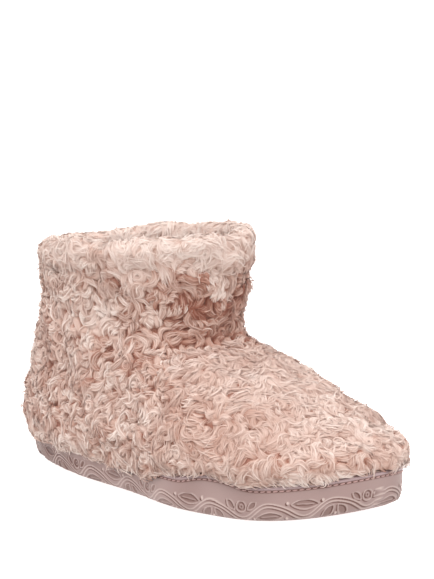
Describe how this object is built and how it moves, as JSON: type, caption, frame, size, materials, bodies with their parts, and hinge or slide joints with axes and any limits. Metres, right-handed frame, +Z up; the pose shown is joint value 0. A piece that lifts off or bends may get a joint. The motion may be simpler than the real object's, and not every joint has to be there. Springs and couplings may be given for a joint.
{
  "type": "bootie slipper",
  "caption": "Ankle-high fleece bootie slipper for the right foot, with a curly pile upper, a rounded collar and a low rubber cup sole",
  "frame": {"origin": "middle of the footprint box, on the floor under the sole", "axes": "+Z up, the toe points -Y, the outer side of the foot is at -X"},
  "size_m": [0.1186, 0.2703, 0.1395],
  "materials": {
    "outsole": "matt",
    "upper": "deep curly pile",
    "insole": "short pile"
  },
  "bodies": {
    "root": {"outsole": "outsole", "upper": "upper", "insole": "insole"}
  },
  "joints": []
}
